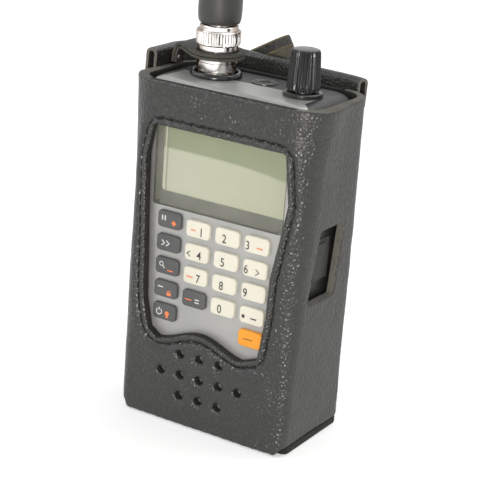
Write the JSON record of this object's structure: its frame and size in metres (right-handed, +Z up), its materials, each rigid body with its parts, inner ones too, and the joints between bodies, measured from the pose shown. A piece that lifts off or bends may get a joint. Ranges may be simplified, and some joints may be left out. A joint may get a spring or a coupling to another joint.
{
  "type": "handheld receiver in a leather case",
  "caption": "Handheld keypad receiver in a fitted black leather case, with a rubber antenna, a volume knob and a swivelling belt loop.",
  "frame": {"origin": "centre of the case's underside", "axes": "+Z up along the antenna, the keypad faces -Y, +X is the port's side"},
  "size_m": [0.0854, 0.0534, 0.298],
  "materials": {
    "case_leather": "pebbled black leather, semi-gloss",
    "loop_leather": "smooth black leather with a raw tan edge",
    "snap_metal": "dull nickel",
    "stud_metal": "dull nickel",
    "front_plastic": "silver-grey painted plastic",
    "rear_plastic": "black textured plastic",
    "screw_steel": "zinc",
    "lens": "clear lens with a dark border",
    "lcd": "grey-green reflective display",
    "diffuser": "white",
    "mat_rubber": "silicone rubber",
    "board": "solder mask",
    "shield": "tin plate",
    "speaker": "paper cone in a plastic frame",
    "battery": "printed sleeve, left plain",
    "contact_steel": "nickel-plated spring steel",
    "knob": "black satin",
    "shaft": "turned",
    "ring_plastic": "black satin",
    "control_metal": "plated steel",
    "jack_plastic": "black",
    "jack_ring": "dark plated",
    "socket_metal": "nickel plate",
    "seat_rubber": "black",
    "coupling_metal": "nickel plate",
    "core_brass": "wound wire, hidden",
    "antenna_rubber": "black rubber",
    "port_rubber": "black rubber",
    "dark_key": "dark grey, satin",
    "ivory_key": "ivory, satin",
    "function_key": "orange, satin"
  },
  "bodies": {
    "radio_in_case": {"case_wrap": "case_leather", "case_bottom": "case_leather", "case_back_panel": "case_leather", "back_hem": "case_leather", "antenna_strap": "case_leather", "strap_rivets": "snap_metal", "stud_base": "case_leather", "belt_stud": "stud_metal", "front_cover": "front_plastic", "rear_cover": "rear_plastic", "battery_door": "rear_plastic", "cover_screws": "screw_steel", "display_lens": "lens", "lcd_panel": "lcd", "backlight": "diffuser", "keypad_mat": "mat_rubber", "main_board": "board", "rf_shield": "shield", "speaker": "speaker", "battery_left": "battery", "battery_right": "battery", "battery_springs": "contact_steel", "battery_contacts": "contact_steel", "control_body": "control_metal", "control_nut": "control_metal", "headphone_jack": "jack_plastic", "jack_nut": "jack_ring", "bnc_socket": "socket_metal", "bnc_nut": "socket_metal", "antenna_seat": "seat_rubber", "usb_socket": "shield"},
    "hold_key_cap": {"hold_key": "dark_key"},
    "scan_key_cap": {"scan_key": "dark_key"},
    "search_key_cap": {"search_key": "dark_key"},
    "lockout_key_cap": {"lockout_key": "dark_key"},
    "power_key_cap": {"power_key": "dark_key"},
    "key_1_cap": {"key_1": "ivory_key"},
    "key_2_cap": {"key_2": "ivory_key"},
    "key_3_cap": {"key_3": "ivory_key"},
    "key_4_cap": {"key_4": "ivory_key"},
    "key_5_cap": {"key_5": "ivory_key"},
    "key_6_cap": {"key_6": "ivory_key"},
    "key_7_cap": {"key_7": "ivory_key"},
    "key_8_cap": {"key_8": "ivory_key"},
    "key_9_cap": {"key_9": "ivory_key"},
    "enter_key_cap": {"enter_key": "dark_key"},
    "key_0_cap": {"key_0": "ivory_key"},
    "point_key_cap": {"point_key": "ivory_key"},
    "function_key_cap": {"function_key": "function_key"},
    "volume": {"volume_knob": "knob", "volume_shaft": "shaft"},
    "squelch": {"squelch_ring": "ring_plastic", "squelch_tube": "control_metal"},
    "coupling": {"coupling_ring": "coupling_metal"},
    "antenna": {"antenna_plug": "coupling_metal", "antenna_core": "core_brass", "antenna_sleeve": "antenna_rubber"},
    "port": {"port_cover": "port_rubber"},
    "loop": {"belt_loop": "loop_leather"}
  },
  "joints": [
    {"name": "hold_key_press", "type": "slide", "parent": "radio_in_case", "child": "hold_key_cap", "axis": [0, 1, 0], "range_m": [0, 0.0007], "stiffness_N_per_m": 400},
    {"name": "scan_key_press", "type": "slide", "parent": "radio_in_case", "child": "scan_key_cap", "axis": [0, 1, 0], "range_m": [0, 0.0007], "stiffness_N_per_m": 400},
    {"name": "search_key_press", "type": "slide", "parent": "radio_in_case", "child": "search_key_cap", "axis": [0, 1, 0], "range_m": [0, 0.0007], "stiffness_N_per_m": 400},
    {"name": "lockout_key_press", "type": "slide", "parent": "radio_in_case", "child": "lockout_key_cap", "axis": [0, 1, 0], "range_m": [0, 0.0007], "stiffness_N_per_m": 400},
    {"name": "power_key_press", "type": "slide", "parent": "radio_in_case", "child": "power_key_cap", "axis": [0, 1, 0], "range_m": [0, 0.0007], "stiffness_N_per_m": 400},
    {"name": "key_1_press", "type": "slide", "parent": "radio_in_case", "child": "key_1_cap", "axis": [0, 1, 0], "range_m": [0, 0.0007], "stiffness_N_per_m": 400},
    {"name": "key_2_press", "type": "slide", "parent": "radio_in_case", "child": "key_2_cap", "axis": [0, 1, 0], "range_m": [0, 0.0007], "stiffness_N_per_m": 400},
    {"name": "key_3_press", "type": "slide", "parent": "radio_in_case", "child": "key_3_cap", "axis": [0, 1, 0], "range_m": [0, 0.0007], "stiffness_N_per_m": 400},
    {"name": "key_4_press", "type": "slide", "parent": "radio_in_case", "child": "key_4_cap", "axis": [0, 1, 0], "range_m": [0, 0.0007], "stiffness_N_per_m": 400},
    {"name": "key_5_press", "type": "slide", "parent": "radio_in_case", "child": "key_5_cap", "axis": [0, 1, 0], "range_m": [0, 0.0007], "stiffness_N_per_m": 400},
    {"name": "key_6_press", "type": "slide", "parent": "radio_in_case", "child": "key_6_cap", "axis": [0, 1, 0], "range_m": [0, 0.0007], "stiffness_N_per_m": 400},
    {"name": "key_7_press", "type": "slide", "parent": "radio_in_case", "child": "key_7_cap", "axis": [0, 1, 0], "range_m": [0, 0.0007], "stiffness_N_per_m": 400},
    {"name": "key_8_press", "type": "slide", "parent": "radio_in_case", "child": "key_8_cap", "axis": [0, 1, 0], "range_m": [0, 0.0007], "stiffness_N_per_m": 400},
    {"name": "key_9_press", "type": "slide", "parent": "radio_in_case", "child": "key_9_cap", "axis": [0, 1, 0], "range_m": [0, 0.0007], "stiffness_N_per_m": 400},
    {"name": "enter_key_press", "type": "slide", "parent": "radio_in_case", "child": "enter_key_cap", "axis": [0, 1, 0], "range_m": [0, 0.0007], "stiffness_N_per_m": 400},
    {"name": "key_0_press", "type": "slide", "parent": "radio_in_case", "child": "key_0_cap", "axis": [0, 1, 0], "range_m": [0, 0.0007], "stiffness_N_per_m": 400},
    {"name": "point_key_press", "type": "slide", "parent": "radio_in_case", "child": "point_key_cap", "axis": [0, 1, 0], "range_m": [0, 0.0007], "stiffness_N_per_m": 400},
    {"name": "function_key_press", "type": "slide", "parent": "radio_in_case", "child": "function_key_cap", "axis": [0, 1, 0], "range_m": [0, 0.0007], "stiffness_N_per_m": 400},
    {"name": "volume_turn", "type": "hinge", "parent": "radio_in_case", "child": "volume", "pos_m": [0.0194, -0.0008, 0.1182], "axis": [0, 0, 1], "range_deg": [-150, 150]},
    {"name": "squelch_turn", "type": "hinge", "parent": "radio_in_case", "child": "squelch", "pos_m": [0.0194, -0.0008, 0.1182], "axis": [0, 0, 1], "range_deg": [-150, 150]},
    {"name": "coupling_turn", "type": "hinge", "parent": "radio_in_case", "child": "coupling", "pos_m": [-0.0153, 0.0017, 0.128], "axis": [0, 0, 1], "range_deg": [0, 90]},
    {"name": "antenna_swivel", "type": "hinge", "parent": "radio_in_case", "child": "antenna", "pos_m": [-0.0153, 0.0017, 0.128], "axis": [0, 0, 1], "continuous": true},
    {"name": "port_cover_hinge", "type": "hinge", "parent": "radio_in_case", "child": "port", "pos_m": [0.0298, 0.0002, 0.058], "axis": [0, 1, 0], "range_deg": [0, 100]},
    {"name": "belt_loop_swivel", "type": "hinge", "parent": "radio_in_case", "child": "loop", "pos_m": [0, 0.0262, 0.1025], "axis": [0, 1, 0], "continuous": true}
  ]
}
